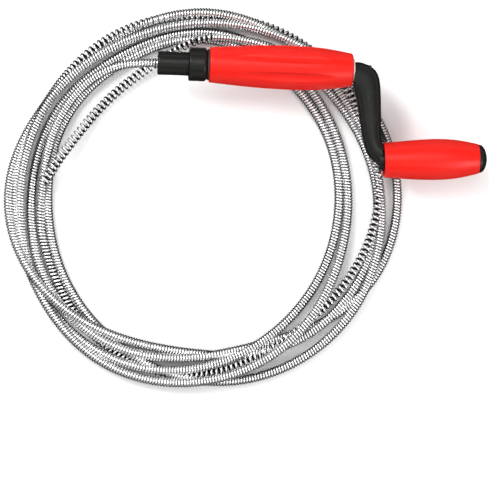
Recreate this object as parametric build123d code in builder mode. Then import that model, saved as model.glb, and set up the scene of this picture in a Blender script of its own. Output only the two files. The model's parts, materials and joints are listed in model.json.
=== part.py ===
from build123d import *

import os
from math import cos, pi, radians, sin, tan

# Hand-cranked drain auger: a coiled spring cable on a two-grip crank handle.
#
# The coil lies flat on the ground (z = 0) with its centre at the origin. The handle lies on top
# of the coil. Its own frame, handle, has its origin on the main shaft's axis at the widest place
# of the main grip, local x along the shaft towards the crank and local y towards the coil's
# outside. The crank grip turns on a spindle with a frame of its own, spindle.
# Sizes are in millimetres.

# ---- cable and coil
cable_d = 8.0                 # outside diameter of the wound spring cable
coil_half_x = 163.0           # outer half width of the coil along X
coil_half_y = 155.5           # outer half width along Y
hole_half_x = 116.0           # half width of the open middle along X
hole_half_y = 125.5
hole_shift_x = -7.2           # the turns bunch to one side, so the middle is off centre
hole_shift_y = 1.5
coil_height = 20.0            # two to three layers of cable
coil_edge_r = 5.0

# ---- where the handle lies
handle_inset_x = 95.6         # the main grip's belly, inwards from the coil's outside
handle_inset_y = 49.8
handle_gap = 4.0              # between the coil's top and the belly
handle_pitch = 3.5            # degrees that the crank end dips

# ---- fits
running_gap = 0.05            # radial, shaft or spindle in its bushes
press_gap = 0.0               # bushes and pins pressed into their seats
end_float = 0.3               # along the axis, at each end of a turning grip
washer_t = 1.0

# ---- main grip, in handle x
grip_front = -64.4
grip_rear = 50.7
grip_front_d = 28.3
grip_belly_d = 35.0
grip_rear_d = 26.2
grip_corner_r = 3.0
grip_front_r = 1.0
flute_count = 7
flute_start = 68.3            # degrees round from the handle's y
flute_r = 6.0
flute_depth = 1.6
grip_hollow_d = 16.0
bush_d = 18.0
bush_length = 14.0

# ---- shaft, collar and nozzle
shaft_d = 9.0
shaft_in_collar = 12.0
shaft_in_arm = 14.0
shaft_chamfer = 0.6
collar_d = 27.0
collar_length = 15.2
collar_chamfer = 2.0
collar_lip_r = 0.8
nozzle_d = 19.2
nozzle_length = 24.8
nozzle_lip_r = 1.2
nozzle_throat = 8.0           # length of the narrow bore at the mouth
throat_gap = 0.4              # radial, round the cable
spigot_d = 14.0               # the collar's nose in the back of the nozzle
spigot_length = 3.0
ferrule_wall = 1.5
ferrule_end = 3.0             # thickness of its closed end
set_screw_d = 4.0
set_screw_spacing = 7.0
set_screw_sink = 0.6

# ---- crank arm, outline in handle x and y
arm_thickness = 16.0
arm_round = 7.0               # rounding of its oval section
arm_end_gap = 0.6             # between the arm and the crank grip's rim
shoulder_swell = 2.0          # how much thicker the arm is where it meets the main grip
foot_swell = 1.0              # and where it meets the crank grip
brow_rise = 14.4              # the arm's foot, above and below the spindle's axis
heel_drop = 6.6
gusset_t = 7.0
snout_d = 17.0                # the arm's round end inside the crank grip's mouth
snout_length = 16.0
snout_root = 4.0              # how far the snout reaches back into the limb
spindle_root = -2.0           # where the spindle starts inside the arm, in spindle x
lock_pin_d = 3.0
lock_pin_top = 5.0            # the shaft's pin stops this far above its axis

# ---- crank grip, in spindle x from its rim
spindle_reach = 26.0          # from the arm's face to the rim's centre, along the shaft
crank_throw = 71.4
spindle_tilt = 3.0            # degrees between the spindle and the shaft
spindle_d = 6.0
crank_grip_length = 76.8
crank_rim_d = 27.8
crank_belly_d = 32.8
crank_belly_x = 41.0
crank_end_d = 23.8
mouth_wall = 1.6
mouth_depth = 17.5
snout_gap = 0.8               # radial, round the snout at the bottom of the mouth
crank_bush_d = 16.0
crank_bush_length = 10.0
crank_bush_gap = 24.5         # free length between the two bushes
cap_plug_d = 19.0
cap_plug_length = 4.0
cap_dome = 6.6
cap_inset = 0.4               # radial, from the grip's end to the cap's edge
retainer_d = 12.0
retaining_ring_d = 10.0
spindle_end = 2.0             # how far the spindle reaches past its retaining ring
cross_pin_d = 2.5
cross_pin_sink = 0.3          # below the snout's surface, at each end
nozzle_run = 10.0             # straight cable in front of the nozzle

# ---- derived places
handle_x = coil_half_x - handle_inset_x
handle_y = coil_half_y - handle_inset_y
handle_height = coil_height + handle_gap + grip_belly_d / 2
pitch = radians(handle_pitch)
handle = Plane(
    origin=(handle_x, handle_y, handle_height),
    x_dir=(cos(pitch), 0, -sin(pitch)),
    z_dir=(sin(pitch), 0, cos(pitch)),
)
arm_face = grip_rear + end_float + washer_t
spindle_x = arm_face + spindle_reach
tilt = radians(spindle_tilt)
spindle = Plane(
    origin=handle.from_local_coords((spindle_x, -crank_throw, 0)),
    x_dir=handle.x_dir * cos(tilt) + handle.y_dir * sin(tilt),
    z_dir=handle.z_dir,
)
shaft_axis = Axis(handle.origin, handle.x_dir)
spindle_axis = Axis(spindle.origin, spindle.x_dir)

collar_rear = grip_front - end_float - washer_t
collar_front = collar_rear - collar_length
nozzle_tip = collar_front - nozzle_length
ferrule_front = nozzle_tip + nozzle_throat
ferrule_rear = collar_front - spigot_length
cable_start = ferrule_rear - ferrule_end


def across(frame, x):
    """Plane square to a frame's local x, at distance x along it."""
    return Plane(
        origin=frame.from_local_coords((x, 0, 0)), x_dir=frame.y_dir, z_dir=frame.x_dir
    )


def upright(frame, x, y, z):
    """Plane facing a frame's local z, at a local point."""
    return Plane(
        origin=frame.from_local_coords((x, y, z)), x_dir=frame.x_dir, z_dir=frame.z_dir
    )


def finish_part(builder, name):
    """Label a finished piece and write its STEP file."""
    builder.part.label = name
    export_step(builder.part, f"parts/{name}.step")


def make_ring(frame, x_from, x_to, outer_d, inner_d, name):
    """A plain bush, washer or ring round a frame's local x."""
    with BuildPart() as ring:
        with BuildSketch(across(frame, x_from)):
            Circle(outer_d / 2)
            Circle(inner_d / 2, mode=Mode.SUBTRACT)
        extrude(amount=x_to - x_from)
    finish_part(ring, name)


def grip_radius_points(x_front, x_belly, x_rear, front_d, belly_d, rear_d):
    """Three points of a barrel-shaped grip's outline."""
    return (x_front, front_d / 2), (x_belly, belly_d / 2), (x_rear, rear_d / 2)


def make_main_grip():
    """Barrel grip that the user holds still while the shaft turns inside it."""
    front, belly, rear = grip_radius_points(
        grip_front, 0, grip_rear, grip_front_d, grip_belly_d, grip_rear_d
    )
    with BuildPart() as main_grip:
        with BuildSketch(handle):
            with BuildLine():
                Spline(front, belly, rear, tangents=((1, 0.12), (1, -0.35)))
                Polyline(rear, (grip_rear, 0), (grip_front, 0), front)
            make_face()
        revolve(axis=shaft_axis)
        ends = main_grip.edges().filter_by(GeomType.CIRCLE).sort_by(shaft_axis)
        fillet(ends[0], grip_front_r)
        fillet(main_grip.edges().filter_by(GeomType.CIRCLE).sort_by(shaft_axis)[-1], grip_corner_r)
        flute_centre = grip_belly_d / 2 + flute_r - flute_depth
        with BuildSketch(across(handle, grip_front)):
            with PolarLocations(flute_centre, flute_count, start_angle=flute_start):
                Circle(flute_r)
        extrude(amount=grip_rear - grip_front, mode=Mode.SUBTRACT)
        with BuildSketch(across(handle, grip_front)):
            Circle(grip_hollow_d / 2)
        extrude(amount=grip_rear - grip_front, mode=Mode.SUBTRACT)
        with BuildSketch(across(handle, grip_front)):
            Circle(bush_d / 2 + press_gap)
        extrude(amount=bush_length, mode=Mode.SUBTRACT)
        with BuildSketch(across(handle, grip_rear - bush_length)):
            Circle(bush_d / 2 + press_gap)
        extrude(amount=bush_length, mode=Mode.SUBTRACT)
    finish_part(main_grip, "main_grip")


def make_bushes():
    """Pressed bushes that the shaft and the spindle run in."""
    shaft_bore = shaft_d + 2 * running_gap
    make_ring(handle, grip_front, grip_front + bush_length, bush_d, shaft_bore, "front_bush")
    make_ring(handle, grip_rear - bush_length, grip_rear, bush_d, shaft_bore, "rear_bush")
    spindle_bore = spindle_d + 2 * running_gap
    inner_end = mouth_depth + crank_bush_length
    outer_start = inner_end + crank_bush_gap
    outer_end = outer_start + crank_bush_length
    make_ring(spindle, mouth_depth, inner_end, crank_bush_d, spindle_bore, "crank_inner_bush")
    make_ring(spindle, outer_start, outer_end, crank_bush_d, spindle_bore, "crank_outer_bush")


def make_washers():
    """Thrust washers beside the turning grips, and the ring that keeps the spindle in."""
    shaft_hole = shaft_d + 2 * running_gap
    washer_d = grip_rear_d - 4 * end_float
    make_ring(handle, collar_rear, collar_rear + washer_t, washer_d, shaft_hole,
              "front_thrust_washer")
    make_ring(handle, arm_face - washer_t, arm_face, bush_d, shaft_hole, "rear_thrust_washer")
    spindle_hole = spindle_d + 2 * running_gap
    make_ring(spindle, snout_length, snout_length + washer_t, retainer_d, spindle_hole,
              "spindle_thrust_washer")
    bushes_end = mouth_depth + 2 * crank_bush_length + crank_bush_gap
    washer_start = bushes_end + end_float
    ring_start = washer_start + washer_t
    make_ring(spindle, washer_start, ring_start, retainer_d, spindle_hole, "spindle_end_washer")
    make_ring(spindle, ring_start, ring_start + washer_t, retaining_ring_d, spindle_d,
              "spindle_retaining_ring")


def make_shaft():
    """Steel rod from the collar through the main grip into the crank arm."""
    start = collar_rear - shaft_in_collar
    with BuildPart() as crank_shaft:
        with BuildSketch(across(handle, start)):
            Circle(shaft_d / 2)
        extrude(amount=arm_face + shaft_in_arm - start)
        chamfer(crank_shaft.edges().filter_by(GeomType.CIRCLE), shaft_chamfer)
        with BuildSketch(upright(handle, arm_face + shaft_in_arm / 2, 0, -shaft_d)):
            Circle(lock_pin_d / 2)
        extrude(amount=shaft_d + lock_pin_top, mode=Mode.SUBTRACT)
    finish_part(crank_shaft, "crank_shaft")


def make_lock_pins():
    """Pin up through the arm and the shaft, and pin across the snout and the spindle."""
    with BuildPart() as shaft_lock_pin:
        with BuildSketch(upright(handle, arm_face + shaft_in_arm / 2, 0, -arm_thickness / 2)):
            Circle(lock_pin_d / 2)
        extrude(amount=arm_thickness / 2 + lock_pin_top)
    finish_part(shaft_lock_pin, "shaft_lock_pin")
    half_length = snout_d / 2 - cross_pin_sink
    with BuildPart() as spindle_cross_pin:
        with BuildSketch(upright(spindle, snout_length / 2, 0, -half_length)):
            Circle(cross_pin_d / 2)
        extrude(amount=2 * half_length)
    finish_part(spindle_cross_pin, "spindle_cross_pin")


def make_collar():
    """Solid collar on the shaft's front end, with a spigot that carries the nozzle."""
    with BuildPart() as front_collar:
        with BuildSketch(across(handle, collar_front)):
            Circle(collar_d / 2)
        extrude(amount=collar_length)
        rims = front_collar.edges().filter_by(GeomType.CIRCLE).sort_by(shaft_axis)
        chamfer(rims[-1], collar_chamfer)
        fillet(front_collar.edges().filter_by(GeomType.CIRCLE).sort_by(shaft_axis)[0], collar_lip_r)
        with BuildSketch(across(handle, ferrule_rear)):
            Circle(spigot_d / 2)
        extrude(amount=spigot_length)
        with BuildSketch(across(handle, collar_rear - shaft_in_collar)):
            Circle(shaft_d / 2)
        extrude(amount=shaft_in_collar, mode=Mode.SUBTRACT)
        with BuildSketch(upright(handle, (collar_front + collar_rear) / 2, 0, -collar_d / 2)):
            with GridLocations(set_screw_spacing, 0, 2, 1):
                Circle(set_screw_d / 2)
        extrude(amount=(collar_d - shaft_d) / 2, mode=Mode.SUBTRACT)
    finish_part(front_collar, "front_collar")


def make_set_screws():
    """Two headless screws, with hexagon sockets, that clamp the collar on the shaft."""
    screw_length = (collar_d - shaft_d) / 2 - set_screw_sink
    with BuildPart() as collar_set_screws:
        with BuildSketch(upright(handle, (collar_front + collar_rear) / 2, 0, -shaft_d / 2)):
            with GridLocations(set_screw_spacing, 0, 2, 1):
                Circle(set_screw_d / 2)
        extrude(amount=-screw_length)
        tail_z = -shaft_d / 2 - screw_length
        with BuildSketch(upright(handle, (collar_front + collar_rear) / 2, 0, tail_z)):
            with GridLocations(set_screw_spacing, 0, 2, 1):
                RegularPolygon(set_screw_d / 4, 6)
        extrude(amount=screw_length / 3, mode=Mode.SUBTRACT)
    finish_part(collar_set_screws, "collar_set_screws")


def make_nozzle():
    """Nose tube that the cable leaves by, with a socket that traps the cable's ferrule."""
    ferrule_d = cable_d + 2 * ferrule_wall
    with BuildPart() as nozzle:
        with BuildSketch(across(handle, nozzle_tip)):
            Circle(nozzle_d / 2)
        extrude(amount=nozzle_length)
        fillet(nozzle.edges().filter_by(GeomType.CIRCLE).sort_by(shaft_axis)[0], nozzle_lip_r)
        with BuildSketch(across(handle, nozzle_tip)):
            Circle(cable_d / 2 + throat_gap)
        extrude(amount=nozzle_length, mode=Mode.SUBTRACT)
        with BuildSketch(across(handle, ferrule_front)):
            Circle(ferrule_d / 2)
        extrude(amount=nozzle_length - nozzle_throat, mode=Mode.SUBTRACT)
        with BuildSketch(across(handle, ferrule_rear)):
            Circle(spigot_d / 2)
        extrude(amount=spigot_length, mode=Mode.SUBTRACT)
    finish_part(nozzle, "nozzle")


def make_ferrule():
    """Steel cup crimped on the cable's end, held between the nozzle and the collar."""
    with BuildPart() as cable_ferrule:
        with BuildSketch(across(handle, ferrule_front)):
            Circle(cable_d / 2 + ferrule_wall)
        extrude(amount=ferrule_rear - ferrule_front)
        with BuildSketch(across(handle, ferrule_front)):
            Circle(cable_d / 2)
        extrude(amount=cable_start - ferrule_front, mode=Mode.SUBTRACT)
    finish_part(cable_ferrule, "cable_ferrule")


def make_crank_arm():
    """Moulded swan-neck arm from the shaft's end down to the crank grip's mouth.

    Round-cornered sections fan round the two bends. Each is given by its outer and its inner end
    in the handle's x and y, and by its thickness.
    """
    rim_back = -arm_end_gap
    brow = handle.to_local_coords(spindle.from_local_coords((rim_back, brow_rise, 0)))
    heel = handle.to_local_coords(spindle.from_local_coords((rim_back, -heel_drop, 0)))
    shoulder_t = arm_thickness + shoulder_swell
    face = arm_face
    root = spindle_x
    throw = crank_throw
    stations = [
        ((face, 6.4), (face, -15.5), shoulder_t),
        ((face + 10.0, 5.4), (face + 1.2, -19.0), (arm_thickness + shoulder_t) / 2),
        ((root - 7.0, -2.6), (face + 2.6, -0.36 * throw), arm_thickness),
        ((root - 3.6, -0.25 * throw), (face + 4.3, -0.47 * throw), arm_thickness),
        ((root - 3.0, -0.58 * throw), (face + 6.6, -0.65 * throw), arm_thickness),
        ((root - 2.4, -0.72 * throw), (face + 9.4, -0.82 * throw), arm_thickness),
        ((brow.X - 0.4, brow.Y + 0.8), (face + 15.0, 0.8 - throw), arm_thickness),
        ((brow.X, brow.Y), (heel.X, heel.Y), arm_thickness + foot_swell),
    ]
    with BuildPart() as crank_arm:
        for outer_end, inner_end, thickness in stations:
            outer_point = handle.from_local_coords((*outer_end, 0))
            inner_point = handle.from_local_coords((*inner_end, 0))
            reach = outer_point - inner_point
            section = Plane(
                origin=inner_point + reach / 2,
                x_dir=reach.normalized(),
                z_dir=reach.cross(handle.z_dir).normalized(),
            )
            with BuildSketch(section):
                RectangleRounded(reach.length, thickness, min(arm_round, 0.45 * thickness))
        loft()
        with BuildSketch(upright(handle, 0, 0, -gusset_t / 2)):
            with BuildLine():
                Polyline(
                    (spindle_x - 3.0, -0.61 * crank_throw),
                    (spindle_x + 2.9, 15.9 - crank_throw),
                    (brow.X, brow.Y + 0.5),
                    (spindle_x - 10.0, brow.Y),
                    (spindle_x - 10.0, -0.61 * crank_throw),
                    close=True,
                )
            make_face()
        extrude(amount=gusset_t)
        with BuildSketch(across(spindle, -snout_root)):
            Circle(snout_d / 2)
        extrude(amount=snout_root + snout_length)
        with BuildSketch(across(handle, arm_face)):
            Circle(shaft_d / 2)
        extrude(amount=shaft_in_arm, mode=Mode.SUBTRACT)
        with BuildSketch(upright(handle, arm_face + shaft_in_arm / 2, 0, -arm_thickness)):
            Circle(lock_pin_d / 2)
        extrude(amount=arm_thickness + lock_pin_top, mode=Mode.SUBTRACT)
        with BuildSketch(across(spindle, spindle_root)):
            Circle(spindle_d / 2)
        extrude(amount=snout_length - spindle_root, mode=Mode.SUBTRACT)
        with BuildSketch(upright(spindle, snout_length / 2, 0, -snout_d)):
            Circle(cross_pin_d / 2)
        extrude(amount=2 * snout_d, mode=Mode.SUBTRACT)
    finish_part(crank_arm, "crank_arm")


def make_crank_spindle():
    """Steel pin pressed into the snout, on which the crank grip turns."""
    bushes_end = mouth_depth + 2 * crank_bush_length + crank_bush_gap
    tip = bushes_end + end_float + 2 * washer_t + spindle_end
    with BuildPart() as crank_spindle:
        with BuildSketch(across(spindle, spindle_root)):
            Circle(spindle_d / 2)
        extrude(amount=tip - spindle_root)
        with BuildSketch(upright(spindle, snout_length / 2, 0, -spindle_d)):
            Circle(cross_pin_d / 2)
        extrude(amount=2 * spindle_d, mode=Mode.SUBTRACT)
    finish_part(crank_spindle, "crank_spindle")


def make_crank_grip():
    """Barrel grip with a bell mouth that turns on the spindle, and its seats for the bushes."""
    front, belly, rear = grip_radius_points(
        0, crank_belly_x, crank_grip_length, crank_rim_d, crank_belly_d, crank_end_d
    )
    inner_end = mouth_depth + crank_bush_length
    outer_start = inner_end + crank_bush_gap
    outer_end = outer_start + crank_bush_length
    with BuildPart() as crank_grip:
        with BuildSketch(spindle):
            with BuildLine():
                Spline(front, belly, rear, tangents=((1, 0.16), (1, -0.3)))
                Polyline(rear, (crank_grip_length, 0), (0, 0), front)
            make_face()
        revolve(axis=spindle_axis)
        with BuildSketch(spindle):
            with BuildLine():
                Polyline(
                    (0, 0),
                    (0, crank_rim_d / 2 - mouth_wall),
                    (mouth_depth, snout_d / 2 + snout_gap),
                    (mouth_depth, 0),
                    close=True,
                )
            make_face()
        revolve(axis=spindle_axis, mode=Mode.SUBTRACT)
        with BuildSketch(across(spindle, mouth_depth)):
            Circle(crank_bush_d / 2)
        extrude(amount=outer_end - mouth_depth, mode=Mode.SUBTRACT)
        with BuildSketch(across(spindle, outer_end)):
            Circle(cap_plug_d / 2)
        extrude(amount=crank_grip_length - outer_end, mode=Mode.SUBTRACT)
        rim = crank_grip.edges().filter_by(GeomType.CIRCLE).group_by(spindle_axis)[0]
        fillet(rim, mouth_wall / 3)
    finish_part(crank_grip, "crank_grip")
    with BuildPart() as end_cap:
        with BuildSketch(spindle):
            with BuildLine():
                edge = crank_end_d / 2 - cap_inset
                Polyline(
                    (crank_grip_length, edge),
                    (crank_grip_length, cap_plug_d / 2),
                    (crank_grip_length - cap_plug_length, cap_plug_d / 2),
                    (crank_grip_length - cap_plug_length, 0),
                    (crank_grip_length + cap_dome, 0),
                )
                Spline(
                    (crank_grip_length + cap_dome, 0),
                    (crank_grip_length + 0.62 * cap_dome, 0.72 * edge),
                    (crank_grip_length, edge),
                    tangents=((0, 1), (-1, 0.35)),
                )
            make_face()
        revolve(axis=spindle_axis)
    finish_part(end_cap, "crank_end_cap")


def make_coil():
    """Outer shape of the coiled cable, an oval ring that lies on the ground."""
    with BuildPart() as cable_coil:
        with BuildSketch(Plane.XY):
            Ellipse(coil_half_x, coil_half_y)
            with Locations((hole_shift_x, hole_shift_y)):
                Ellipse(hole_half_x, hole_half_y, mode=Mode.SUBTRACT)
        extrude(amount=coil_height)
        fillet(cable_coil.edges().group_by(Axis.Z)[-1], coil_edge_r)
    finish_part(cable_coil, "cable_coil")


def corner_radii(points):
    """The largest arc that fits each corner: 0.45 of its shorter run over tan(half the turn)."""
    radii = []
    for before, corner, after in zip(points, points[1:], points[2:]):
        run_in = corner - before
        run_out = after - corner
        half_turn = radians(run_in.get_angle(run_out)) / 2
        radii.append(0.45 * min(run_in.length, run_out.length) / tan(half_turn))
    return radii


def make_cable_tube(points, name):
    """A tube of the cable's diameter along straight runs joined by tangent arcs."""
    radii = corner_radii(points)
    with BuildPart() as tube:
        with BuildLine():
            path = FilletPolyline(*points, radius=radii)
        first_run = points[1] - points[0]
        with BuildSketch(Plane(origin=points[0], z_dir=first_run)):
            Circle(cable_d / 2)
        sweep()
    swept = pi * (cable_d / 2) ** 2 * path.length
    print(name, "radii", [round(r) for r in radii], "length", round(path.length, 1),
          "volume / swept", round(tube.part.volume / swept, 4))
    finish_part(tube, name)


def make_cable():
    """The cable's two stretches outside the coil: out of the nozzle, and the auger head."""
    lead_route = [
        handle.from_local_coords((cable_start, 0, 0)),
        handle.from_local_coords((nozzle_tip - nozzle_run, 0, 0)),
        Vector(-70.5, 103.0, 46.5),
        Vector(-92.5, 91.0, 39.5),
        Vector(-109.5, 72.5, 30.0),
        Vector(-121.0, 51.0, 20.5),
        Vector(-127.5, 28.5, 12.5),
    ]
    head_route = [
        Vector(7.0, 131.5, 12.5),
        Vector(-10.0, 127.0, 13.5),
        Vector(-26.0, 118.5, 12.5),
        Vector(-41.5, 108.0, 9.0),
        Vector(-57.5, 96.5, 5.5),
        Vector(-73.5, 83.0, 4.3),
        Vector(-87.5, 68.0, 4.6),
        Vector(-99.5, 52.0, 8.5),
        Vector(-110.5, 36.5, 14.5),
        Vector(-120.0, 22.5, 19.0),
        Vector(-128.0, 8.0, 20.5),
    ]
    make_coil()
    make_cable_tube(lead_route, "cable_lead")
    make_cable_tube(head_route, "auger_head")


os.makedirs("parts", exist_ok=True)
make_main_grip()
make_bushes()
make_washers()
make_shaft()
make_lock_pins()
make_collar()
make_set_screws()
make_nozzle()
make_ferrule()
make_crank_arm()
make_crank_spindle()
make_crank_grip()
make_cable()
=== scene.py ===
"""Looks of a hand-cranked drain auger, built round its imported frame.

Laid out as an add-on: property groups hold the sizes and colours, operators make the pieces,
and a sidebar panel lists them. New pieces are numpy surfaces, in metres, in the row's frame.
"""
import json

import bpy
import numpy as np
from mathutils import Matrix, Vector


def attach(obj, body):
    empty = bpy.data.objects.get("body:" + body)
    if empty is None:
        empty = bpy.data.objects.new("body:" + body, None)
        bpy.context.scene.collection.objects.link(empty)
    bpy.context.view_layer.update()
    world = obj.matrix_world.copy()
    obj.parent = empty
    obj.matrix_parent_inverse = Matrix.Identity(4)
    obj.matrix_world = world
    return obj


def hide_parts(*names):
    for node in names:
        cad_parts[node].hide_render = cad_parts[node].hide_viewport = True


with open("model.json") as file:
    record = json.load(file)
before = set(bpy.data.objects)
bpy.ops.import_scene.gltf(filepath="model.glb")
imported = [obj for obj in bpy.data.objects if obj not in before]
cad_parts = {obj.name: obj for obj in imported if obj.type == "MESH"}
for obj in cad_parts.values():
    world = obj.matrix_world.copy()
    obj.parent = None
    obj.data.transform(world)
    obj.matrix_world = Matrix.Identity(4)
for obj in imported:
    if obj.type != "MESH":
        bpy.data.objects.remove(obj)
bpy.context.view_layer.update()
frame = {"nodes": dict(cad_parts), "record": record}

MM = 0.001
TAU = 2 * np.pi

bl_info = {
    "name": "Drain Auger",
    "version": (1, 0, 0),
    "blender": (4, 5, 0),
    "location": "3D View > Sidebar > Auger",
    "description": "Coiled spring cable on a two-grip crank handle, with its finishes and stage",
    "category": "Add Mesh",
}

# The cable's route from its ferrule to the coil, in millimetres. The first two points are given
# by their distance along the shaft's axis, the others in the row's frame.
LEAD_ALONG_SHAFT = (-86.7, -115.7)
LEAD_ROUTE = (
    (-70.5, 103.0, 46.5),
    (-92.5, 91.0, 39.5),
    (-109.5, 72.5, 30.0),
    (-121.0, 51.0, 20.5),
    (-127.5, 28.5, 12.5),
)
# How far each turn's middle runs from the coil's centre, in millimetres, every 30 degrees
# anticlockwise from the left-hand side. The last row stops where the auger head begins.
# They were read by eye, resampled by another script, and partly changed by hand.
TURN_RADII = (
    (132.5, 136.5, 144.5, 145.0, 134.5, 136.0, 144.0, 146.5, 150.0, 148.5, 150.5, 148.0),
    (152.0, 153.0, 157.0, 150.5, 139.0, 125.5, 119.5, 121.5, 129.0, 135.5, 133.5, 138.0),
    (139.0, 144.5, 141.0, 130.0, 131.0, 152.0, 160.0, 156.5, 147.5, 142.5, 142.0, 147.0),
    (147.5, 152.5, 151.0, 139.5, 125.0, 115.5, 112.0, 114.5, 120.5, 129.5, 127.5, 128.5),
    (125.6, 129.5, 137.5, 149.0, 154.5, 153.5, 146.5, 142.0, 145.0, 151.0, 147.5, 148.0),
    (157.8, 150.0, 133.0, 127.0, 138.5, 144.5, 144.0, 137.0, 135.0, 135.5),
)
# Which turn lies on which, from the ground up, in the same twelve directions.
TURNS_FROM_GROUND = (
    "123465", "153426", "154236", "165243", "346152", "365142",
    "423651", "423651", "142653", "124635", "52431", "51423",
)
# The auger head's route, from the last turn across the open middle and up on the coil.
HEAD_ROUTE = (
    (7.0, 131.5, 12.5),
    (-10.0, 127.0, 13.5),
    (-26.0, 118.5, 12.5),
    (-41.5, 108.0, 9.0),
    (-57.5, 96.5, 5.5),
    (-73.5, 83.0, 4.3),
    (-87.5, 68.0, 4.6),
    (-99.5, 52.0, 8.5),
    (-110.5, 36.5, 14.5),
    (-120.0, 22.5, 19.0),
    (-128.0, 8.0, 20.5),
)
# The winding's pitch, in millimetres, at the angle that the cable has gone round, in degrees.
PITCH_ANGLES = (170, 195, 230, 280, 330, 380, 430, 450, 493, 503)
PITCHES = (2.33, 2.6, 3.6, 4.2, 4.35, 4.35, 4.3, 4.3, 4.2, 2.33)
COIL_START = 180  # the direction of the coil's first point, in degrees
KNOT_SPACING = 30  # between two radii of TURN_RADII, in degrees
LAST_TURN_LEFT_OUT = 15  # before the last radius, where the head's route takes over
NEST_SHARE = 0.9  # how far apart touching turns are settled, in diameters
HIGHEST_TURN = 2.7  # the highest middle of a turn, in diameters
SMOOTHING = np.array([1, 2, 3, 2, 1]) / 9
SMOOTHING_PASSES = 3
CABLE_SIDES = 5
HEAD_SIDES = 10
HEAD_STEPS_PER_LOOP = 24
HEAD_PITCH_FROM = 0.996  # the share of the cable's run where the head's pitch starts
SWELL_FROM = 0.72  # the share of the head's run where its loops start to widen
SWELL_POWER = 1.5
WINDING_STEP = 0.0005

# The light tent's brightness from straight down, 0, by the horizon, 0.5, to straight up, 1.
TENT_BANDS = (
    (0.0, 0.03), (0.5, 0.03), (0.56, 1.0), (0.7, 0.9),
    (0.76, 0.15), (0.85, 0.15), (0.92, 1.0), (1.0, 1.0),
)
# Place and side of each softbox, in metres.
KEY_PLACE, KEY_SIZE = (-1.0, 0.9, 1.6), 0.9
FILL_PLACE, FILL_SIZE = (1.2, -0.9, 1.2), 0.9
TOP_PLACE, TOP_SIZE = (0.25, 0.55, 1.9), 0.7
FLOOR_HALF = 4.0
FLOOR_WHITE = (0.9, 0.9, 0.9, 1.0)
FLOOR_ROUGHNESS = 0.9


# ---------------------------------------------------------------- places and meshes

def place_of(joint_name):
    """Origin and local axes at a joint: x along its axis, z as near the vertical as it can be."""
    joint = next(j for j in frame["record"]["behaviour"]["joints"] if j["name"] == joint_name)
    x_axis = np.array(joint["axis"], float)
    x_axis /= np.linalg.norm(x_axis)
    y_axis = np.cross((0.0, 0.0, 1.0), x_axis)
    y_axis /= np.linalg.norm(y_axis)
    return np.array(joint["pos_m"], float), np.stack([x_axis, y_axis, np.cross(x_axis, y_axis)])


HANDLE = place_of("main_grip_spin")
SPINDLE = place_of("crank_grip_spin")


def to_row(place, local):
    """Local points to the row's frame: the origin plus each coordinate along its axis."""
    origin, axes = place
    return origin + np.asarray(local, float) @ axes


def reach(node, place):
    """A CAD node's lowest and highest local x and its widest radius round that axis."""
    mesh = frame["nodes"][node].data
    points = np.empty(len(mesh.vertices) * 3)
    mesh.vertices.foreach_get("co", points)
    origin, axes = place
    local = (points.reshape(-1, 3) - origin) @ axes.T
    return local[:, 0].min(), local[:, 0].max(), np.hypot(local[:, 1], local[:, 2]).max()


def make_object(name, points, faces, body, slot, material, *replaced):
    """A smooth mesh object from points and faces, riding on its body with its finish."""
    mesh = bpy.data.meshes.new(name)
    mesh.from_pydata(points.tolist(), [], faces)
    mesh.polygons.foreach_set("use_smooth", np.ones(len(mesh.polygons), bool))
    mesh.update()
    piece = bpy.data.objects.new(name, mesh)
    bpy.context.collection.objects.link(piece)
    mesh.materials.append(material)
    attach(piece, body)
    if replaced:
        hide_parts(*replaced)
    return piece


def grid_faces(rows, columns, wrap_rows, first=0):
    """Quads of a grid of points whose columns close on themselves, and whose rows may."""
    row = np.arange(rows if wrap_rows else rows - 1)[:, None]
    column = np.arange(columns)[None, :]
    next_row = (row + 1) % rows
    next_column = (column + 1) % columns
    corners = (
        row * columns + column,
        row * columns + next_column,
        next_row * columns + next_column,
        next_row * columns + column,
    )
    return (np.stack(corners, -1).reshape(-1, 4) + first).tolist()


def smooth_through(knots, values, at):
    """A natural cubic through the values, worked out from its tridiagonal slopes."""
    knots = np.asarray(knots, float)
    values = np.asarray(values, float)
    gaps = np.diff(knots)
    rises = np.diff(values, axis=0) / gaps.reshape(-1, *([1] * (values.ndim - 1)))
    system = np.zeros((len(knots), len(knots)))
    system[0, 0] = system[-1, -1] = 1.0
    inner = np.arange(1, len(knots) - 1)
    system[inner, inner - 1] = gaps[:-1]
    system[inner, inner] = 2 * (gaps[:-1] + gaps[1:])
    system[inner, inner + 1] = gaps[1:]
    right = np.zeros_like(values)
    right[1:-1] = 3 * (rises[1:] - rises[:-1])
    bend = np.linalg.solve(system, right)
    shape = (-1, *([1] * (values.ndim - 1)))
    index = np.clip(np.searchsorted(knots, at) - 1, 0, len(gaps) - 1)
    step = (np.asarray(at) - knots[index]).reshape(shape)
    gap = gaps[index].reshape(shape)
    slope = rises[index] - gap * (2 * bend[index] + bend[index + 1]) / 3
    twist = (bend[index + 1] - bend[index]) / (3 * gap)
    return values[index] + step * (slope + step * (bend[index] + step * twist))


def revolve_profile(name, place, profile, steps, body, slot, material, *replaced, radius_at=None):
    """A closed profile of (x, r) carried round local x.

    A point is (x, r cos a, r sin a), a from 0 to a full turn; radius_at(x, r, a) may change r.
    """
    profile = np.asarray(profile, float)
    angle = np.linspace(0, TAU, steps, endpoint=False)
    x = np.repeat(profile[:, :1], steps, 1)
    r = np.repeat(profile[:, 1:], steps, 1)
    if radius_at is not None:
        r = radius_at(x, r, angle[None, :])
    points = to_row(place, np.stack([x, r * np.cos(angle), r * np.sin(angle)], -1).reshape(-1, 3))
    return make_object(
        name, points, grid_faces(len(profile), steps, True), body, slot, material, *replaced
    )


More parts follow.
